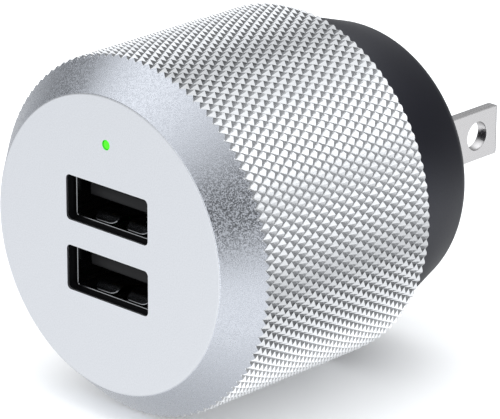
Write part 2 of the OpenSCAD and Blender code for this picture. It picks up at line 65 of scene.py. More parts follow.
POINT_R = shell_high.x
FRONT_Y = shell_low.y
RIM_Y = shell_high.y
BEVEL_W = 4 * MM
BEVEL_LEN = 4.5 * MM
FACE_R = POINT_R - BEVEL_W
PORTS = []
for which in ("upper", "lower"):
    low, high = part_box(f"usb_shell_{which}")
    PORTS.append((low + high) / 2)
print("shell radius", round(POINT_R / MM, 2), "face radius", round(FACE_R / MM, 2),
      "ports at", [round(p.z / MM, 2) for p in PORTS])

# %% [markdown]
# The camera stands in front, to the right and a little above, and looks down a long lens. A long
# lens from half a metre keeps the shell's sides almost parallel, as in a catalogue picture. The
# view is aimed at a point inside the shell, and a small shift of the lens centres the picture
# without turning the camera.

# %% Camera
TURN = math.radians(43.568)
TILT = math.radians(20.477)
ROLL = math.radians(0.2)
AIM = Vector((3.64, -26.0, -1.326)) * MM
DISTANCE = 459.24 * MM
SENSOR_MM, FOCAL_MM = 36, 276.16
SHIFT_X, SHIFT_Y = 0.0046, 0.0231

away = Vector((math.sin(TURN) * math.cos(TILT), -math.cos(TURN) * math.cos(TILT), math.sin(TILT)))
right = Vector((math.cos(TURN), math.sin(TURN), 0))
up = away.cross(right)
right, up = (math.cos(ROLL) * right + math.sin(ROLL) * up,
             math.cos(ROLL) * up - math.sin(ROLL) * right)

lens = bpy.data.cameras.new("camera")
lens.sensor_width = SENSOR_MM
lens.lens = FOCAL_MM
lens.shift_x = SHIFT_X
lens.shift_y = SHIFT_Y
lens.clip_start = 0.01
lens.clip_end = 20
camera = bpy.data.objects.new("camera", lens)
turn = Matrix((right, up, away)).transposed().to_4x4()
camera.matrix_world = Matrix.Translation(AIM + DISTANCE * away) @ turn
bpy.context.scene.collection.objects.link(camera)
bpy.context.scene.camera = camera
print("camera at", [round(x, 3) for x in camera.matrix_world.translation])

# %% [markdown]
# Blender's node trees can be built with very little code once two things are wrapped. `Graph.node`
# makes any node from its type, its settings and what goes into its sockets. `Wire` holds an output
# socket and overloads the operators, so `1 - mask * 0.3` writes its own Math nodes. The same two
# classes serve shader trees and geometry trees.

# %% Node arithmetic
class Graph:
    """A node tree that is filled in by short calls."""

    def __init__(self, tree):
        self.tree = tree

    def node(self, kind, settings=None, sockets=None, out=0):
        made = self.tree.nodes.new(kind)
        for name, value in (settings or {}).items():
            if name == "stops":
                made.color_ramp.elements[1].position = value[-1][0]
                for place, grey in value:
                    at_ends = {value[0][0]: 0, value[-1][0]: -1}
                    stop = (made.color_ramp.elements[at_ends[place]] if place in at_ends
                            else made.color_ramp.elements.new(place))
                    stop.color = (grey, grey, grey, 1) if isinstance(grey, (int, float)) else grey
            else:
                setattr(made, name, value)
        for key, value in (sockets or {}).items():
            if isinstance(value, Wire):
                self.tree.links.new(value.socket, made.inputs[key])
            else:
                made.inputs[key].default_value = value
        return Wire(self, made.outputs[out] if made.outputs else None, made)


class Wire:
    """An output socket that takes part in ordinary arithmetic."""

    def __init__(self, graph, socket, made=None):
        self.graph, self.socket, self.made = graph, socket, made

    def also(self, name):
        return Wire(self.graph, self.made.outputs[name], self.made)

    def math(self, operation, *values):
        return self.graph.node("ShaderNodeMath", {"operation": operation}, dict(enumerate(values)))

    def __add__(self, other):
        return self.math("ADD", self, other)

    def __sub__(self, other):
        return self.math("SUBTRACT", self, other)

    def __mul__(self, other):
        return self.math("MULTIPLY", self, other)

    def __truediv__(self, other):
        return self.math("DIVIDE", self, other)

    def __rsub__(self, other):
        return self.math("SUBTRACT", other, self)

    __radd__ = __add__
    __rmul__ = __mul__


# %% [markdown]
# Every finish starts from the same shader. `Finish` makes the material, sets the shader's plain
# values directly on its sockets, and offers the few patterns that real surfaces need: grain from
# blasting or moulding, which is stretched into long scratches for rolled metal, and cells for
# single grains and pores. Patterns read object coordinates, and because each piece sits at the
# origin unscaled, a scale of 1000 means one cycle per millimetre.

# %% Finishes: the common part
PER_MM = 1000.0


class Finish(Graph):
    """A material with one shader, and the patterns that its surface needs."""

    def __init__(self, name, colour, roughness, metallic=0.0, **plain):
        self.material = bpy.data.materials.new(name + "_look")
        self.material.use_nodes = True
        super().__init__(self.material.node_tree)
        self.shader = self.tree.nodes["Principled BSDF"]
        self.shader.inputs["Base Color"].default_value = (*colour, 1)
        self.shader.inputs["Roughness"].default_value = roughness
        self.shader.inputs["Metallic"].default_value = metallic
        for name, value in plain.items():
            self.shader.inputs[name.replace("_", " ")].default_value = value
        self.place = self.node("ShaderNodeTexCoord", out="Object")

    def set(self, socket, wire):
        self.tree.links.new(wire.socket, self.shader.inputs[socket])

    def grain(self, per_mm, detail=2.0, stretch=(1, 1, 1)):
        scaled = self.node("ShaderNodeMapping", {}, {"Vector": self.place, "Scale": stretch})
        return self.node("ShaderNodeTexNoise", {},
                         {"Vector": scaled, "Scale": PER_MM * per_mm, "Detail": detail})

    def cells(self, per_mm, out="Color"):
        return self.node("ShaderNodeTexVoronoi", {},
                         {"Vector": self.place, "Scale": PER_MM * per_mm}, out=out)

    def spread(self, wire, low, high):
        return self.node("ShaderNodeMapRange", {},
                         {"Value": wire, "From Min": 0.25, "From Max": 0.75,
                          "To Min": low, "To Max": high})

    def blend(self, amount, first, second):
        return self.node("ShaderNodeMix", {"data_type": "RGBA"},
                         {"Factor": amount, 6: (*first, 1) if isinstance(first, tuple) else first,
                          7: (*second, 1) if isinstance(second, tuple) else second}, out=2)

    def emboss(self, height, depth_mm, strength=1.0, under=None):
        sockets = {"Height": height, "Distance": depth_mm * MM, "Strength": strength}
        if under is not None:
            sockets["Normal"] = under
        return self.node("ShaderNodeBump", {}, sockets)


# %% [markdown]
# The shell is one piece of aluminium with three finishes. Its face is finely blasted, even and
# satin. The bevel is blasted coarser, so single grains glitter. The knurl is cut after blasting,
# and its facets are brighter and carry faint marks of the rolling tool.

# %% Finishes: aluminium
def blasted(name, colour, roughness, grains_per_mm, depth_mm, glitter):
    finish = Finish(name, colour, roughness, metallic=1.0)
    grit = finish.grain(grains_per_mm, detail=1.0)
    shine = finish.node("ShaderNodeSeparateColor", {}, {0: finish.cells(grains_per_mm)})
    finish.set("Roughness", finish.spread(shine, roughness - glitter, roughness + glitter))
    dark, light = (tuple(c * f for c in colour) for f in (0.92, 1.0))
    finish.set("Base Color", finish.blend(finish.spread(grit, 0.0, 1.0), dark, light))
    finish.set("Normal", finish.emboss(grit, depth_mm))
    return finish.material


FACE_SATIN = blasted("shell_face", (0.87, 0.885, 0.92), 0.42, 6.0, 0.002, 0.03)
BEVEL_GRIT = blasted("shell_bevel", (0.775, 0.80, 0.86), 0.28, 9.0, 0.012, 0.24)
BORE_TURNED = blasted("shell_bore", (0.62, 0.63, 0.65), 0.45, 5.0, 0.006, 0.06)


def rolled_facets():
    finish = Finish("shell_knurl", (0.93, 0.935, 0.95), 0.24, metallic=1.0)
    marks = finish.grain(3.2, detail=4.0)
    finish.set("Roughness", finish.spread(marks, 0.18, 0.34))
    finish.set("Base Color", finish.blend(marks, (0.86, 0.87, 0.89), (0.96, 0.965, 0.975)))
    finish.set("Normal", finish.emboss(marks, 0.02))
    return finish.material


KNURL_CUT = rolled_facets()
print("finishes:", [m.name for m in bpy.data.materials])

# %% [markdown]
# The plastics are dark and matt. Moulded plastic has a fine spark-eroded texture, which is a
# shallow bump with a little change in gloss. The base is a blue black, and the liner is a plain
# black that shows only as the collars inside the ports.

# %% Finishes: moulded plastic
def moulded(name, colour, roughness, per_mm=7.0, depth_mm=0.012, shade=0.25, **plain):
    finish = Finish(name, colour, roughness, **plain)
    texture = finish.grain(per_mm, detail=3.0)
    cloud = finish.grain(0.12, detail=2.0)
    finish.set("Roughness", finish.spread(texture, roughness - 0.06, roughness + 0.06))
    darker = tuple(c * (1 - shade) for c in colour)
    finish.set("Base Color", finish.blend(cloud, darker, colour))
    finish.set("Normal", finish.emboss(texture + cloud * 0.2, depth_mm))
    return finish.material


BASE_BLACK = moulded("base_black", (0.008, 0.008, 0.013), 0.36, per_mm=6.0, depth_mm=0.006,
                     Specular_IOR_Level=0.74, Specular_Tint=(0.86, 0.88, 1.0, 1))
LINER_BLACK = moulded("liner_black", (0.003, 0.003, 0.004), 0.5, Specular_IOR_Level=0.3)
TONGUE_BLACK = moulded("tongue_black", (0.009, 0.009, 0.010), 0.45, depth_mm=0.006,
                       Specular_IOR_Level=0.22)
CLAMP_IVORY = moulded("clamp_ivory", (0.62, 0.57, 0.44), 0.5)
NYLON_WHITE = moulded("nylon_white", (0.74, 0.74, 0.70), 0.45)
HEADER_BLACK = moulded("header_black", (0.02, 0.02, 0.02), 0.45)
BOBBIN_BLACK = moulded("bobbin_black", (0.025, 0.022, 0.02), 0.4)
CHIP_EPOXY = moulded("chip_epoxy", (0.018, 0.018, 0.02), 0.55, per_mm=14.0, depth_mm=0.006)
LED_BODY = moulded("led_body", (0.80, 0.78, 0.66), 0.35)

# %% [markdown]
# Sheet and strip metal is rolled and then plated, so its marks run along the strip. Noise that is
# squeezed along one axis gives these long scratches. The same function finishes the nickel blades,
# the socket shells, the gold contacts and the bronze springs.

# %% Finishes: rolled and plated metal
def plated(name, colour, roughness, stretch=(1, 0.06, 1), per_mm=5.0, depth_mm=0.004):
    finish = Finish(name, colour, roughness, metallic=1.0)
    lines = finish.grain(per_mm, detail=3.0, stretch=stretch)
    specks = finish.grain(per_mm * 1.4, detail=2.0)
    both = lines * 0.6 + specks * 0.4
    finish.set("Roughness", finish.spread(both, roughness - 0.08, roughness + 0.10))
    finish.set("Base Color", finish.blend(specks, tuple(c * 0.93 for c in colour), colour))
    finish.set("Normal", finish.emboss(both, depth_mm))
    return finish.material


BLADE_NICKEL = plated("blade_nickel", (0.81, 0.79, 0.79), 0.26, depth_mm=0.003)
SOCKET_STEEL = plated("socket_steel", (0.52, 0.53, 0.55), 0.17, depth_mm=0.001)
CONTACT_GOLD = plated("contact_gold", (0.93, 0.68, 0.28), 0.25)
SPRING_BRONZE = plated("spring_bronze", (0.74, 0.52, 0.30), 0.35)
CAN_ALUMINIUM = plated("can_aluminium", (0.78, 0.79, 0.80), 0.3, stretch=(1, 1, 0.06))

# %% [markdown]
# The light pipe is clear green plastic that glows from the chip behind it. The glow falls off
# towards its rim, so the middle looks lit and the edge stays a deeper green.

# %% Finishes: the glowing pipe
PIPE_X, PIPE_Z = (pipe_low.x + pipe_high.x) / 2, (pipe_low.z + pipe_high.z) / 2


def glowing():
    finish = Finish("pipe_green", (0.02, 0.30, 0.01), 0.35, Specular_IOR_Level=0.15)
    centred = finish.node("ShaderNodeMapping", {}, {
        "Vector": finish.place, "Location": (-PIPE_X, 0, -PIPE_Z)})
    flat = finish.node("ShaderNodeVectorMath", {"operation": "MULTIPLY"},
                       {0: centred, 1: (PER_MM, 0.0, PER_MM)})
    off_axis = finish.node("ShaderNodeVectorMath", {"operation": "LENGTH"}, {0: flat}, out="Value")
    core = finish.node("ShaderNodeMapRange", {}, {
        "Value": off_axis, "From Min": 0.38, "From Max": 0.62, "To Min": 1.0, "To Max": 0.0})
    cloudy = finish.grain(2.0)
    finish.set("Emission Color", finish.blend(core, (0.02, 0.50, 0.005), (0.085, 0.93, 0.015)))
    finish.set("Normal", finish.emboss(cloudy, 0.01))
    finish.shader.inputs["Emission Strength"].default_value = 1.0
    return finish.material


PIPE_GREEN = glowing()

# %% [markdown]
# The parts inside never show while the charger is whole, but each still has its own finish, for
# cut-away views. A circuit board is green lacquer over a grid of copper tracks. A winding shows its
# turns as fine ridges, and its colour is painted darker between them as painted shade in the creases.
# Ferrite is a dull grey ceramic with pores, each painted darker towards its middle as painted shade
# in the pit, and lacquered parts are glossy.

# %% Finishes: boards and electrical parts
def lacquered_board():
    finish = Finish("board_green", (0.01, 0.13, 0.05), 0.3, Coat_Weight=0.5, Coat_Roughness=0.15)
    tracks = finish.node("ShaderNodeTexBrick", {}, {
        "Vector": finish.node("ShaderNodeMapping", {}, {
            "Vector": finish.place, "Rotation": (math.pi / 2, 0, 0)}),
        "Scale": PER_MM, "Mortar Size": 0.12, "Brick Width": 2.6, "Row Height": 1.3}, out="Fac")
    weave = finish.grain(3.0)
    finish.set("Base Color", finish.blend(tracks, (0.008, 0.10, 0.035), (0.03, 0.24, 0.08)))
    finish.set("Roughness", 0.26 + weave * 0.12)
    finish.set("Normal", finish.emboss(tracks * 0.7 + weave * 0.3, 0.02))
    return finish.material


def wound(name, colour, turns_per_mm, roughness=0.35, metallic=0.0):
    finish = Finish(name, colour, roughness, metallic)
    turns = finish.node("ShaderNodeTexWave", {"bands_direction": "Y"}, {
        "Vector": finish.place, "Scale": PER_MM * turns_per_mm / 20 * math.tau, "Distortion": 0.4,
        "Detail": 1.0})
    # Painted shade: the colour is darker between the turns, where the bump sinks into the creases.
    finish.set("Base Color", finish.blend(turns, tuple(c * 0.45 for c in colour), colour))
    finish.set("Roughness", roughness + (1 - turns) * 0.25)
    finish.set("Normal", finish.emboss(turns, 0.05))
    return finish.material


def porous(name, colour, roughness, per_mm):
    finish = Finish(name, colour, roughness)
    pores = finish.cells(per_mm, out="Distance")
    # Painted shade: each pore is darker towards its middle, where the bump is deepest.
    finish.set("Base Color", finish.blend(pores, tuple(c * 0.6 for c in colour), colour))
    finish.set("Roughness", finish.spread(pores, roughness - 0.1, roughness + 0.1))
    finish.set("Normal", finish.emboss(pores, 0.02))
    return finish.material


BOARD_GREEN = lacquered_board()
TAPE_YELLOW = wound("winding_tape", (0.85, 0.62, 0.12), 1.2)
CHOKE_COPPER = wound("choke_copper", (0.62, 0.27, 0.12), 2.2, metallic=1.0)
FERRITE = porous("ferrite", (0.07, 0.07, 0.078), 0.6, 2.5)
SLEEVE_BLUE = moulded("sleeve_blue", (0.012, 0.02, 0.09), 0.25, per_mm=1.5, Coat_Weight=0.5)
COAT_GREEN = porous("resistor_coat", (0.24, 0.42, 0.30), 0.4, 1.2)
COAT_BLUE = porous("disc_coat", (0.03, 0.12, 0.45), 0.3, 1.5)
CERAMIC_TAN = porous("ceramic_tan", (0.45, 0.33, 0.22), 0.5, 5.0)
print("finishes:", len(bpy.data.materials))

# %% [markdown]
# Most pieces start as one of three simple solids, so three helpers come first. `lathe` turns a
# profile of [radius, y] points about an axis along Y, as the real shell is turned. `tunnel` runs a
# round-cornered rectangle along Y through stations that can grow or shrink it, which makes holes
# with an edge break as well as bars. `plate` gives a flat outline its thickness. The last two both
# end in `loft`, which joins their rings.

# %% Mesh helpers
def ring(bm, points):
    return [bm.verts.new(point) for point in points]


def bridge(bm, first, second, mark=0):
    """Faces between two rings; a ring of one vertex is a pole."""
    count = max(len(first), len(second))
    for i in range(count):
        corners = []
        for vert in (first[i % len(first)], second[i % len(second)],
                     second[(i + 1) % len(second)], first[(i + 1) % len(first)]):
            if vert not in corners:
                corners.append(vert)
        bm.faces.new(corners).material_index = mark


def loft(bm, rings):
    """Joins rings in a row and closes both ends."""
    for first, second in zip(rings, rings[1:]):
        bridge(bm, first, second)
    for end in (rings[0], rings[-1]):
        bm.faces.new(end)
    return bm


def lathe(profile, marks=None, steps=192, x=0.0, z=0.0):
    """Closed solid turned from a profile that starts and ends on the axis."""
    bm = bmesh.new()
    rings = []
    for radius, y in profile:
        if radius < 1e-9:
            rings.append(ring(bm, [(x, y, z)]))
        else:
            angles = [math.tau * i / steps for i in range(steps)]
            rings.append(ring(bm, [(x + radius * math.cos(a), y, z + radius * math.sin(a))
                                   for a in angles]))
    for i in range(len(rings) - 1):
        bridge(bm, rings[i], rings[i + 1], marks[i] if marks else 0)
    return bm


def rounded(w, h, r, steps=8):
    """Outline of a rectangle with round corners, as (x, z) points."""
    points = []
    for corner in range(4):
        sx, sz = ((1, 1), (-1, 1), (-1, -1), (1, -1))[corner]
        for i in range(steps + 1):
            a = (corner + i / steps) * math.pi / 2
            points.append((sx * (w / 2 - r) + r * math.cos(a), sz * (h / 2 - r) + r * math.sin(a)))
    return points


LEAST_R = 0.005 * MM


def tunnel(w, h, r, x, z, stations, steps=8):
    """Solid along Y; each station is (y, grow)."""
    bm = bmesh.new()
    rings = []
    for y, grow in stations:
        outline = rounded(w + 2 * grow, h + 2 * grow, max(r + grow, LEAST_R), steps)
        rings.append(ring(bm, [(x + px, y, z + pz) for px, pz in outline]))
    return loft(bm, rings)


def plate(outline, thickness, x):
    """Flat (y, z) outline, thick along X and centred on x."""
    bm = bmesh.new()
    return loft(bm, [ring(bm, [(x + side * thickness / 2, y, z) for y, z in outline])
                     for side in (-1, 1)])


def piece(name, bm, *finishes):
    """Makes an object of a bmesh, with its faces outwards."""
    bmesh.ops.remove_doubles(bm, verts=bm.verts, dist=1e-7)
    bmesh.ops.recalc_face_normals(bm, faces=bm.faces)
    mesh = bpy.data.meshes.new(name)
    bm.to_mesh(mesh)
    bm.free()
    for finish in finishes:
        mesh.materials.append(finish)
    made = bpy.data.objects.new(name, mesh)
    bpy.context.scene.collection.objects.link(made)
    return made


def settle(made, sharp_deg=35):
    """Turns modifiers into plain mesh, and smooths it between its sharp edges."""
    bpy.context.view_layer.update()
    evaluated = made.evaluated_get(bpy.context.evaluated_depsgraph_get())
    mesh = bpy.data.meshes.new_from_object(evaluated)
    made.modifiers.clear()
    made.data = mesh
    mesh.name = made.name
    if not mesh.has_custom_normals:
        mesh.shade_smooth()
        mesh.set_sharp_from_angle(angle=math.radians(sharp_deg))
    return made


def carve(made, tool, how="DIFFERENCE"):
    """One boolean cut; the tool is used up."""
    cut = made.modifiers.new("cut", "BOOLEAN")
    cut.operation = how
    cut.solver = "EXACT"
    cut.material_mode = "TRANSFER"
    cut.object = tool
    settle(made)
    bpy.data.objects.remove(tool)
    return made


def soften(made, width_mm, segments=2, limit_deg=40):
    """Breaks every sharp edge, as moulding, stamping or tumbling does."""
    edge = made.modifiers.new("edge", "BEVEL")
    edge.width = width_mm * MM
    edge.segments = segments
    edge.limit_method = "ANGLE"
    edge.angle_limit = math.radians(limit_deg)
    settle(made)
    made.modifiers.new("even", "WEIGHTED_NORMAL").keep_sharp = True
    return settle(made)


def measure(made):
    """Prints a piece's size and how many faces it has."""
    places = [vert.co for vert in made.data.vertices]
    size = [max(co[i] for co in places) - min(co[i] for co in places) for i in range(3)]
    print(made.name, "mm:", [round(x / MM, 2) for x in size], "faces:", len(made.data.polygons))


print("helpers ready")

# %% [markdown]
# A knurl is rolled or cut with two sets of slanting grooves, and what is left between them is a
# field of four-sided pyramids. Every point of that field follows one rule, so Geometry Nodes make
# it: a flat grid is wrapped round the axis, its points alternate like a chessboard between the
# pyramids' tips and the grooves' crossings, and each square is split along its shorter diagonal,
# which runs along a groove. The first and last rows shrink to the axis and close the bar.

# %% Knurled bar
def knurl_tree():
    tree = bpy.data.node_groups.new("knurl", "GeometryNodeTree")
    graph = Graph(tree)
    tree.interface.new_socket("Geometry", in_out="OUTPUT", socket_type="NodeSocketGeometry")
    for name, kind in (("Points Around", "Int"), ("Rows", "Int"), ("Tip Radius", "Float"),
                       ("Groove Depth", "Float"), ("Row Step", "Float"), ("First Row", "Float"),
                       ("Turn", "Float"), ("Front", "Float"), ("Back", "Float")):
        tree.interface.new_socket(name, in_out="INPUT", socket_type=f"NodeSocket{kind}")
    given = graph.node("NodeGroupInput")
    around, rows, tip, groove, step, first, turn_by, front, back = (
        given.also(s.name) for s in tree.interface.items_tree if s.in_out == "INPUT")

    columns = around * 2 + 1
    lines = rows + 4
    grid = graph.node("GeometryNodeMeshGrid", {}, {
        "Size X": columns - 1, "Size Y": lines - 1, "Vertices X": columns, "Vertices Y": lines})
    corner = graph.node("ShaderNodeSeparateXYZ", {}, {0: graph.node("GeometryNodeInputPosition")})
    i = corner.math("ROUND", corner + (columns - 1) / 2)
    j = corner.math("ROUND", corner.also("Y") + (lines - 1) / 2)

    odd = graph.node("ShaderNodeMath", {"operation": "MODULO"}, {0: i + j, 1: 2.0})
    row_y = first + (j - 2) * step
    in_front = j.math("LESS_THAN", j, 1.5)
    behind = j.math("GREATER_THAN", j, rows + 1.5)
    at_pole = j.math("LESS_THAN", j, 0.5) + j.math("GREATER_THAN", j, rows + 2.5)
    middle = 1 - in_front - behind
    y = row_y * middle + front * in_front + back * behind
    radius = (tip - odd * middle * groove) * (1 - at_pole)
    angle = i * math.pi / around + turn_by
    place = graph.node("ShaderNodeCombineXYZ", {}, {
        "X": radius * angle.math("COSINE", angle), "Y": y,
        "Z": radius * angle.math("SINE", angle)})

    wrapped = graph.node("GeometryNodeSetPosition", {}, {"Geometry": grid, "Position": place})
    split = graph.node("GeometryNodeTriangulate", {"quad_method": "SHORTEST_DIAGONAL"},
                       {0: wrapped})
    merged = graph.node("GeometryNodeMergeByDistance", {}, {"Geometry": split, "Distance": 1e-6})
    outward = graph.node("GeometryNodeFlipFaces", {}, {0: merged})
    plain = graph.node("GeometryNodeRealizeInstances", {}, {0: outward})
    coloured = graph.node("GeometryNodeSetMaterial", {}, {0: plain, "Material": KNURL_CUT})
    graph.node("NodeGroupOutput", {}, {0: coloured})
    return tree


def grow(name, tree, **sizes):
    """Runs a tree on an empty object and keeps the plain mesh."""
    made = bpy.data.objects.new(name, bpy.data.meshes.new(name))
    bpy.context.scene.collection.objects.link(made)
    nodes_modifier = made.modifiers.new("grow", "NODES")
    nodes_modifier.node_group = tree
    for socket in tree.interface.items_tree:
        if socket.in_out == "INPUT":
            nodes_modifier[socket.identifier] = sizes[socket.name.replace(" ", "_")]
    return settle(made)


POINTS_AROUND = 112
ROW_STEP = 1.07 * MM
GROOVE_DEPTH = 0.5 * MM
FIRST_ROW = 2.99 * MM
ROWS = 29
KNURL_TURN = math.radians(0.852)
bar = grow("knurl_bar", knurl_tree(), Points_Around=POINTS_AROUND, Rows=ROWS, Tip_Radius=POINT_R,
           Groove_Depth=GROOVE_DEPTH, Row_Step=ROW_STEP, First_Row=FRONT_Y + FIRST_ROW,
           Turn=KNURL_TURN, Front=FRONT_Y - MM, Back=RIM_Y + 2 * MM)
measure(bar)

# %% [markdown]
# The shell starts as a turned blank: face, edge break, bevel, and a sleeve a little wider than the
# knurl. Its bore, the two port cut-outs and the hole for the light pipe are cut first, while the
# mesh is still light. Cutting the blank against the knurled bar comes last. The bevel then slices
# the first rows of pyramids, which gives the scalloped line where knurl and bevel meet. Each cut
# brings its own finish with it.

# %% Metal shell
WALL = 1.85 * MM
FACE_T = 1.0 * MM
SHOULDER_T = 2.2 * MM
EDGE_BREAK = 0.13 * MM
REAR_BEVEL = 0.35 * MM
PORT_W, PORT_H, PORT_CORNER = 13.5 * MM, 5.64 * MM, 0.6 * MM
PORT_LIP = 0.3 * MM
COLLAR = 0.5 * MM
PIPE_HOLE_R = 0.63 * MM
SPARE_MM = 0.2

bevel_slope = Vector((BEVEL_W, BEVEL_LEN)).normalized()
outside = [
    (0, FRONT_Y),
    (FACE_R - EDGE_BREAK, FRONT_Y),
    (FACE_R - EDGE_BREAK * 0.35, FRONT_Y + EDGE_BREAK * 0.12),
    (FACE_R + EDGE_BREAK * 0.3 * bevel_slope.x, FRONT_Y + EDGE_BREAK * 0.55),
    (FACE_R + EDGE_BREAK * bevel_slope.x, FRONT_Y + EDGE_BREAK * bevel_slope.y),
    (POINT_R + SPARE_MM * bevel_slope.x * MM, FRONT_Y + BEVEL_LEN + SPARE_MM * bevel_slope.y * MM),
    (POINT_R + SPARE_MM * bevel_slope.x * MM, RIM_Y - REAR_BEVEL),
    (POINT_R - REAR_BEVEL, RIM_Y),
    (0, RIM_Y),
]
bore_r = POINT_R - WALL
inner_face_r = FACE_R + FACE_T * BEVEL_W / BEVEL_LEN - SHOULDER_T
bore = [
    (0, FRONT_Y + FACE_T),
    (inner_face_r, FRONT_Y + FACE_T),
    (bore_r, FRONT_Y + FACE_T + (bore_r - inner_face_r) * BEVEL_LEN / BEVEL_W),
    (bore_r, RIM_Y + MM),
    (0, RIM_Y + MM),
]
shell = piece("shell", lathe(outside, [0, 0, 0, 1, 1, 2, 2, 2], steps=256),
              FACE_SATIN, BEVEL_GRIT, KNURL_CUT)
carve(shell, piece("bore", lathe(bore, steps=160), BORE_TURNED))
for middle in PORTS:
    carve(shell, piece("port", tunnel(PORT_W, PORT_H, PORT_CORNER, middle.x, middle.z, [
        (FRONT_Y - MM, 0), (FRONT_Y + PORT_LIP, 0),
        (FRONT_Y + PORT_LIP, COLLAR), (FRONT_Y + 3 * MM, COLLAR)]), FACE_SATIN))
hole = [(0, FRONT_Y - MM), (PIPE_HOLE_R, FRONT_Y - MM), (PIPE_HOLE_R, FRONT_Y + 2 * MM),
        (0, FRONT_Y + 2 * MM)]
carve(shell, piece("hole", lathe(hole, steps=48, x=PIPE_X, z=PIPE_Z), FACE_SATIN))
carve(shell, bar, "INTERSECT")
settle(shell, sharp_deg=8)
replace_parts(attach(shell, "root"), "housing_shell")
measure(shell)
print("finishes on the shell:", [m.name for m in shell.data.materials])

# %% [markdown]
# The base is moulded in one piece. Outside, a taper runs into a round edge with no line between
# them, so the profile's arc ends where the taper touches it. Inside are a floor, four posts with
# stakes for the power board, and a pad with two pins for the plate that clamps the blades.

# %% Rear base
BASE_R = base_high.x
WALL_FACE_R = 13.65 * MM
EDGE_R = 4 * MM
BASE_WALL = 2 * MM
FLOOR = 2.5 * MM
LINER_T = 1.2 * MM
SPIGOT_T = 1.6 * MM
SPIGOT_LEN = 4 * MM
GAP = 0.05 * MM
FOOT_CHAMFER = 1.5 * MM

base_rim = RIM_Y + GAP
run = Vector((BASE_R - WALL_FACE_R, -RIM_Y - EDGE_R))
taper = math.atan2(run.x, run.y) - math.asin(EDGE_R / run.length)
spigot_r = bore_r - LINER_T - 2 * GAP
spigot_in_r = spigot_r - SPIGOT_T


def inside(y):
    """Radius of the taper's inner wall at y."""
    return BASE_R - BASE_WALL - (y - base_rim) * math.tan(taper)


arc = [(WALL_FACE_R + EDGE_R * math.cos(a), EDGE_R * (math.sin(a) - 1))
       for a in (taper + (math.pi / 2 - taper) * i / 20 for i in range(21))]
profile = [
    (0, -FLOOR),
    (WALL_FACE_R, -FLOOR),
    (inside(-FLOOR - FOOT_CHAMFER), -FLOOR - FOOT_CHAMFER),
    (spigot_in_r, base_rim + (BASE_R - BASE_WALL - spigot_in_r) / math.tan(taper)),
    (spigot_in_r, base_rim - SPIGOT_LEN),
    (spigot_r, base_rim - SPIGOT_LEN),
    (spigot_r, base_rim),
    (BASE_R - 0.15 * MM, base_rim),
    (BASE_R - 0.04 * MM, base_rim + 0.04 * MM),
    (BASE_R - 0.02 * MM, base_rim + 0.15 * MM),
    *arc,
    (WALL_FACE_R - 0.3 * MM, 0),
    (0, 0),
]
base = piece("base", lathe(profile, steps=224), BASE_BLACK)

POST_RING, POST_R, STAKE_R = 14.4 * MM, 1.5 * MM, 0.8 * MM
PAD_W, PIN_R, PIN_RISE = 4 * MM, 1 * MM, 3.2 * MM
STUB = 0.6 * MM
PIN_CHAMFER = 0.12 * MM
POST_ANGLES = (50, 130, 230, 310)
ROOT_Y = -FLOOR + 0.3 * MM
board_low, board_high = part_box("power_board")
clamp_low, clamp_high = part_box("blade_clamp")


def pin(steps_out, x, z):
    """Round bar with chamfered steps; each is [radius, y where it starts], the last one ends."""
    outline = [(0, steps_out[0][1])]
    for (radius, y), (_, end) in zip(steps_out, steps_out[1:]):
        outline += [(radius - PIN_CHAMFER, y), (radius, y + PIN_CHAMFER), (radius, end)]
    return piece("pin", lathe(outline + [(0, steps_out[-1][1])], steps=32, x=x, z=z), BASE_BLACK)


for quarter in POST_ANGLES:
    a = math.radians(quarter)
    carve(base, pin([(STAKE_R, board_low.y - STUB), (POST_R, board_high.y), (0, ROOT_Y)],
                    POST_RING * math.cos(a), POST_RING * math.sin(a)), "UNION")
clamp_z = (clamp_low.z + clamp_high.z) / 2
carve(base, piece("pad", tunnel(PAD_W, clamp_high.z - clamp_low.z, 0.2 * MM, 0, clamp_z, [
    (clamp_high.y, -0.1 * MM), (clamp_high.y + 0.1 * MM, 0), (ROOT_Y, 0)], steps=3),
    BASE_BLACK), "UNION")
for side in (-1, 1):
    carve(base, pin([(PIN_R, clamp_low.y - STUB), (0, ROOT_Y)], 0, clamp_z + side * PIN_RISE),
          "UNION")

BLADE_T = blade_high.x - blade_low.x
BLADE_W = 6.35 * MM
BLADE_Z = (blade_low.z + blade_high.z) / 2
BLADE_X = (blade_low.x + blade_high.x) / 2
TIP_Y = blade_high.y
for x in (-BLADE_X, BLADE_X):
    carve(base, piece("slot", tunnel(BLADE_T + 2 * GAP, BLADE_W + 2 * GAP, 0.2 * MM, x, BLADE_Z, [
        (-FLOOR - MM, 0), (-0.15 * MM, 0), (0.1 * MM, 0.25 * MM)], steps=3), BASE_BLACK))
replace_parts(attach(base, "root"), "rear_base")
measure(base)

# %% [markdown]
# Each blade is stamped from nickel-plated brass strip. It has a hole near its end, a tip that is
# pinched to guide it into the socket, wide shoulders that lock it inside the base, and a narrower
# tail. The outline is drawn flat and given its thickness, the pinch is an intersection with a
# pointed bar, and tumbling has rounded every edge a little.

# %% Blades
HOLE_R = 1.85 * MM
HOLE_Y = 12.15 * MM
TIP_R = 0.5 * MM
PINCH, PINCH_LEN = 0.4 * MM, 0.6 * MM
SHOULDER_LEN = 1.2 * MM
TAIL_W = 5 * MM


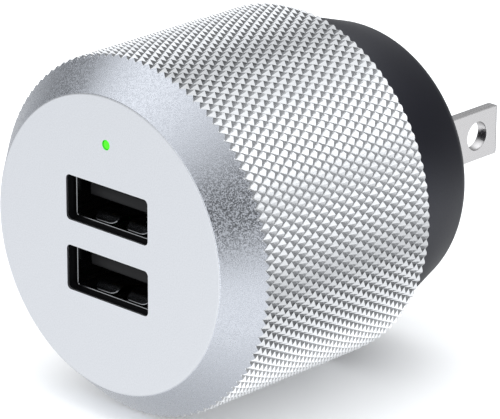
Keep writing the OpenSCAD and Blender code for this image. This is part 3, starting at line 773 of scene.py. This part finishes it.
def blade(name, x, replaced):
    half, shoulder, tail = BLADE_W / 2, (blade_high.z - blade_low.z) / 2, TAIL_W / 2
    shoulder_y = -FLOOR - SHOULDER_LEN
    tip = [(TIP_Y - TIP_R + TIP_R * math.sin(a), half - TIP_R + TIP_R * math.cos(a))
           for a in (math.pi / 2 * i / 6 for i in range(7))]
    upper = [(blade_low.y, tail), (shoulder_y, tail), (shoulder_y, shoulder), (-FLOOR, shoulder),
             (-FLOOR, half), *tip]
    outline = upper + [(y, -z) for y, z in reversed(upper)]
    flat = piece(name, plate([(y, z + BLADE_Z) for y, z in outline], BLADE_T, x), BLADE_NICKEL)
    point = tunnel(BLADE_T, 3 * BLADE_W, 0.01 * MM, x, BLADE_Z, [
        (blade_low.y - MM, MM), (TIP_Y - PINCH_LEN, 0), (TIP_Y, -PINCH)], steps=1)
    carve(flat, piece("point", point, BLADE_NICKEL), "INTERSECT")
    drill = bmesh.new()
    bmesh.ops.create_cone(drill, cap_ends=True, segments=64, radius1=HOLE_R, radius2=HOLE_R,
                          depth=4 * BLADE_T, matrix=Matrix.Translation((x, HOLE_Y, BLADE_Z))
                          @ Matrix.Rotation(math.pi / 2, 4, "Y"))
    carve(flat, piece("drill", drill, BLADE_NICKEL))
    soften(flat, 0.06, segments=3, limit_deg=25)
    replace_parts(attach(flat, "root"), replaced)
    measure(flat)


blade("left_blade", -BLADE_X, "blade_left")
blade("right_blade", BLADE_X, "blade_right")

# %% [markdown]
# The light pipe is a short turned rod of clear plastic with a wide head behind the face. Its end is
# slightly domed, so that it catches the light and spreads its own.

# %% Light pipe
PIPE_R = 0.58 * MM
DOME, DOME_TURN = 0.16 * MM, 1.4
HEAD_CHAMFER = 0.1 * MM
head_r = pipe_high.x - PIPE_X
head_front = FRONT_Y + FACE_T + LINER_T + 2 * GAP
dome = [(PIPE_R * math.sin(a),
         pipe_low.y + DOME * (1 - math.cos(a)) / (1 - math.cos(DOME_TURN)))
        for a in (DOME_TURN * i / 8 for i in range(1, 9))]
pipe_profile = [(0, pipe_low.y), *dome, (PIPE_R, pipe_low.y + 0.25 * MM), (PIPE_R, head_front),
                (head_r - HEAD_CHAMFER, head_front), (head_r, head_front + HEAD_CHAMFER),
                (head_r, pipe_high.y - HEAD_CHAMFER), (head_r - HEAD_CHAMFER, pipe_high.y),
                (0, pipe_high.y)]
turned = lathe(pipe_profile, steps=48, x=PIPE_X, z=PIPE_Z)
pipe = settle(piece("indicator_pipe", turned, PIPE_GREEN))
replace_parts(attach(pipe, "root"), "light_pipe")
measure(pipe)

# %% [markdown]
# A socket is folded from steel sheet and lines its port. The sheet's front edge has a small
# lead-in, which catches the light as a thin line. Two fingers are cut out of its floor and bent up
# to grip the plug: each is a strip with round front corners and round edges, and it rises to a
# hump before it comes back to the floor. A block closes the socket behind, and carries a tongue
# with a bevelled front and a groove for each contact.

# %% Sockets
SHEET = 0.3 * MM
SHEET_R = 0.6 * MM
LEAD_IN = 0.05 * MM
SOCKET_LEN, LEG_W = 14 * MM, 2 * MM
FINGER_W, FINGER_X = 3.6 * MM, 2.6 * MM
FINGER_FRONT, FINGER_TOP, FINGER_ROOT = 0.6 * MM, 1.6 * MM, 6 * MM
FINGER_RISE = 0.65 * MM
FINGER_ROUND = 1.0 * MM
FINGER_SLOT = 0.25 * MM
FINGER_EDGE = 0.12 * MM
FINGER_STEPS, FINGER_CROWD = 32, 1.6
TONGUE_RISE = 0.65 * MM
TONGUE_LEN, TONGUE_W, TONGUE_T = 8.9 * MM, 11.1 * MM, 1.85 * MM
TONGUE_BEVEL, BLOCK_EDGE = 0.45 * MM, 0.12 * MM
CONTACT_X = (-3.5 * MM, -1 * MM, 1 * MM, 3.5 * MM)
CONTACT_W, CONTACT_T, CONTACT_START = 1 * MM, 0.25 * MM, 0.8 * MM


def strip(x, z, stations, thickness, edge_r):
    """Bent strip along Y; each station is (y, width, rise, grow)."""
    bm = bmesh.new()
    rings = [ring(bm, [(x + px, y, z + rise + pz) for px, pz in rounded(
        width, thickness + 2 * grow, max(edge_r + grow, LEAST_R), 4)])
             for y, width, rise, grow in stations]
    return loft(bm, rings)


def finger(x, floor_z, front):
    """One spring finger, from its round front end, where the stations crowd, to its root."""
    stations = []
    for i in range(FINGER_STEPS + 1):
        along = (i / FINGER_STEPS) ** FINGER_CROWD * (FINGER_ROOT - FINGER_FRONT + SHEET)
        rounding = max(0.0, 1 - along / FINGER_ROUND)
        width = FINGER_W - 2 * FINGER_ROUND * (1 - math.sqrt(max(0.0, 1 - rounding ** 2)))
        hump = FINGER_TOP if along < FINGER_TOP else FINGER_ROOT - FINGER_FRONT - FINGER_TOP
        past = 0 if along < FINGER_TOP else FINGER_TOP
        swing = math.cos(min((along - past) / hump, 1) * math.pi)
        share = (1 + swing) / 2 if past else (1 - swing) / 2
        grow = -FINGER_EDGE * (1 - math.sqrt(1 - max(0.0, 1 - along / FINGER_EDGE) ** 2))
        stations.append((front + FINGER_FRONT + along, width, FINGER_RISE * share, grow))
    return strip(x, floor_z + SHEET / 2 + GAP / 2, stations, SHEET - GAP, FINGER_EDGE)


def socket(which, middle):
    """The folded sheet with its two fingers, and a leg on each side."""
    low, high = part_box(f"usb_shell_{which}")
    w, h, front = high.x - low.x, high.z - low.z, low.y
    x, z = middle.x, middle.z
    back = front + SOCKET_LEN
    made = piece(f"socket_{which}", tunnel(w, h, SHEET_R, x, z, [
        (front, -0.06 * MM), (front + 0.06 * MM, 0), (back, 0)]), SOCKET_STEEL)
    carve(made, piece("hollow", tunnel(w - 2 * SHEET, h - 2 * SHEET, SHEET_R - SHEET, x, z, [
        (front - 0.1 * MM, LEAD_IN + 0.1 * MM), (front, LEAD_IN), (front + LEAD_IN, 0),
        (back + MM, 0)]), SOCKET_STEEL))
    for side in (-1, 1):
        carve(made, piece("gap", tunnel(FINGER_W + 2 * FINGER_SLOT, 2 * SHEET, 0.04 * MM,
                                        x + side * FINGER_X, low.z, [
            (front + FINGER_FRONT - FINGER_SLOT, 0), (front + FINGER_ROOT, 0)], steps=3),
            SOCKET_STEEL))
    for side in (-1, 1):
        carve(made, piece("finger", finger(x + side * FINGER_X, low.z, front), SOCKET_STEEL),
              "UNION")
        carve(made, piece("leg", tunnel(SHEET, LEG_W, 0.05 * MM, x + side * (w - SHEET) / 2, z, [
            (back - 0.1 * MM, 0), (high.y - 0.2 * MM, 0), (high.y, -0.1 * MM)], steps=3),
            SOCKET_STEEL), "UNION")
    settle(made, sharp_deg=30)
    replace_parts(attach(made, "root"), f"usb_shell_{which}")
    measure(made)


def tongue(which, middle):
    """The tongue and the block behind it."""
    low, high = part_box(f"usb_tongue_{which}")
    x, z = middle.x, middle.z + TONGUE_RISE
    made = piece(f"tongue_{which}", tunnel(TONGUE_W, TONGUE_T, 0.12 * MM, x, z, [
        (low.y, -0.3 * MM), (low.y + 0.08 * MM, -0.18 * MM), (low.y + TONGUE_BEVEL, 0),
        (low.y + TONGUE_LEN + 0.1 * MM, 0)], steps=4), TONGUE_BLACK)
    carve(made, piece("block", tunnel(high.x - low.x, high.z - low.z, 0.3 * MM, x, middle.z, [
        (low.y + TONGUE_LEN, -BLOCK_EDGE), (low.y + TONGUE_LEN + BLOCK_EDGE, 0), (high.y, 0)]),
        TONGUE_BLACK), "UNION")
    for place in CONTACT_X:
        carve(made, piece("groove", tunnel(
            CONTACT_W + 2 * GAP, 2 * (CONTACT_T + GAP), 0.02 * MM, x + place, z - TONGUE_T / 2,
            [(low.y + CONTACT_START, 0), (high.y + MM, 0)], steps=2), TONGUE_BLACK))
    settle(made, sharp_deg=30)
    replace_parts(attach(made, "root"), f"usb_tongue_{which}")
    measure(made)


for which, middle in zip(("upper", "lower"), PORTS):
    socket(which, middle)
    tongue(which, middle)

# %% [markdown]
# Everything else keeps its shape from the model, because it shows only when the charger is taken
# apart. Each part gets the finish of what it is made of. A name in this list may stand for a family
# of parts that begin with it.

# %% Finishes for the parts inside
INSIDE = {
    "inner_liner": LINER_BLACK, "blade_clamp": CLAMP_IVORY, "contact_spring": SPRING_BRONZE,
    "status_led": LED_BODY, "usb_contacts": CONTACT_GOLD, "port_board": BOARD_GREEN,
    "power_board": BOARD_GREEN, "board_spacers": NYLON_WHITE, "link_header": HEADER_BLACK,
    "link_pins": CONTACT_GOLD,
    "transformer_core": FERRITE, "transformer_bobbin": BOBBIN_BLACK,
    "transformer_winding": TAPE_YELLOW, "input_capacitor": SLEEVE_BLUE,
    "output_capacitor": CAN_ALUMINIUM, "choke_core": FERRITE, "choke_winding": CHOKE_COPPER,
    "fuse_resistor": COAT_GREEN, "safety_capacitor": COAT_BLUE, "optocoupler": CHIP_EPOXY,
    "bridge_rectifier": CHIP_EPOXY, "switching_chip": CHIP_EPOXY, "output_rectifier": CHIP_EPOXY,
    "charging_chip": CHIP_EPOXY, "chip_resistors": CHIP_EPOXY, "chip_capacitors": CERAMIC_TAN,
}
for start, finish in INSIDE.items():
    for name, kept in nodes.items():
        if name.startswith(start) and not kept.hide_render:
            kept.data.materials.clear()
            kept.data.materials.append(finish)
print("kept nodes with a finish:", sum(not o.hide_render for o in nodes.values()))

# %% [markdown]
# Metal looks like what it reflects, so the studio is designed by directions. The sky is bright
# overhead and dims to a dark band above the horizon, and the ground sends back a soft grey. Soft
# round panels add light where a surface needs it: low in front on the left for the flat face, on
# the right for the knurl's facets, behind for the base and the blades, and straight in front for
# the thin rim of the face. Two dark patches behind keep the base black, and a faint one straight
# overhead keeps level metal from burning out when it is seen from above. Light that has been
# reflected twice is dimmed, so grooves and ports look deep. For matt surfaces all of this is evened
# out, and one soft lamp overhead gives the shadow. The floor is a pale matt disc, which stays out
# of reflections so that they stay even.
#
# A level is a height, from 0 straight below to 1 straight above, and its brightness. A panel or a
# shade is a direction, the cosines where it starts and where it is full, and its strength. All of
# them are placed for the view from the front, so this studio isn't a copy of a real one.

# %% Studio
FLOOR_R = 1.2
LEVELS = [(0.0, 0.62), (0.06, 0.70), (0.15, 0.80), (0.32, 0.76), (0.42, 0.50), (0.50, 0.32),
          (0.56, 0.19), (0.66, 0.17), (0.74, 0.30), (0.84, 0.84), (0.92, 1.18), (1.0, 1.4)]
PANELS = [((-0.646, -0.679, -0.350), 0.60, 0.95, 0.25),
          ((0.97, 0.07, -0.03), 0.71, 0.90, 0.84),
          ((-0.70, 0.70, 0.15), 0.55, 0.95, 0.10),
          ((0.646, 0.679, -0.35), 0.86, 0.97, 0.20),
          ((0.05, -0.99, 0.08), 0.80, 0.94, 0.85)]
SHADES = [((0.12, 0.96, 0.22), 0.78, 0.95, 0.62),
          ((-0.15, 0.84, -0.52), 0.72, 0.93, 0.20),
          ((0.0, 0.0, 1.0), 0.955, 0.985, 0.32)]
SIDEWAYS = (-0.32, 0.45, 0.0)
SECOND_LOOK = 0.32
EVEN_LIGHT = 1.6
LAMP_SIZE, LAMP_WATTS = 0.5, 0.6
LAMP_PLACE = Vector((-0.12, 0.05, 0.55))

world = bpy.data.worlds.new("studio")
bpy.context.scene.world = world
world.use_nodes = True
sky = Graph(world.node_tree)
direction = sky.node("ShaderNodeTexCoord", out="Generated")
height = sky.node("ShaderNodeSeparateXYZ", {}, {0: direction}).also("Z")
level = sky.node("ShaderNodeValToRGB", {"stops": LEVELS}, {"Fac": height * 0.5 + 0.5})
sideways = sky.node("ShaderNodeVectorMath", {"operation": "DOT_PRODUCT"},
                    {0: direction, 1: SIDEWAYS}, out="Value")


def patch(centre, edge, full, strength):
    """A soft round patch of the sky: its cosines where it starts and is full, and its strength."""
    towards = sky.node("ShaderNodeVectorMath", {"operation": "DOT_PRODUCT"},
                       {0: direction, 1: centre}, out="Value")
    return sky.node("ShaderNodeMapRange", {"interpolation_type": "SMOOTHSTEP"}, {
        "Value": towards, "From Min": edge, "From Max": full, "To Min": 0.0, "To Max": strength})


seen = sky.node("ShaderNodeSeparateColor", {}, {0: level}) * (1 + sideways * height)
for shade in SHADES:
    seen = seen * (1 - patch(*shade))
for panel in PANELS:
    seen = seen + patch(*panel)
for_matt = sky.node("ShaderNodeLightPath", out="Is Diffuse Ray")
again = for_matt.math("GREATER_THAN", for_matt.also("Glossy Depth"), 1.5)
seen = seen * (1 - again * (1 - SECOND_LOOK))
background = world.node_tree.nodes["Background"]
world.node_tree.links.new((seen * (1 - for_matt) + for_matt * EVEN_LIGHT).socket,
                          background.inputs["Strength"])
background.inputs["Color"].default_value = (0.96, 0.98, 1.0, 1)

lamp = bpy.data.lights.new("softbox", "AREA")
lamp.shape = "DISK"
lamp.size = LAMP_SIZE
lamp.energy = LAMP_WATTS
softbox = bpy.data.objects.new("softbox", lamp)
softbox.matrix_world = (Matrix.Translation(LAMP_PLACE)
                        @ LAMP_PLACE.to_track_quat("Z", "Y").to_matrix().to_4x4())
softbox.visible_glossy = False
bpy.context.scene.collection.objects.link(softbox)

ground = bmesh.new()
rim = ring(ground, [(FLOOR_R * math.cos(math.tau * i / 96), FLOOR_R * math.sin(math.tau * i / 96),
                     shell_low.z) for i in range(96)])
ground.faces.new(rim)
paper = Finish("floor_paper", (0.94, 0.94, 0.94), 0.9, Specular_IOR_Level=0.0)
paper.set("Base Color", paper.blend(paper.grain(0.4), (0.935, 0.935, 0.935), (0.945, 0.945, 0.945)))
floor = piece("floor", ground, paper.material)
floor.visible_glossy = False
bpy.context.scene.view_settings.view_transform = "Standard"
print("studio ready")
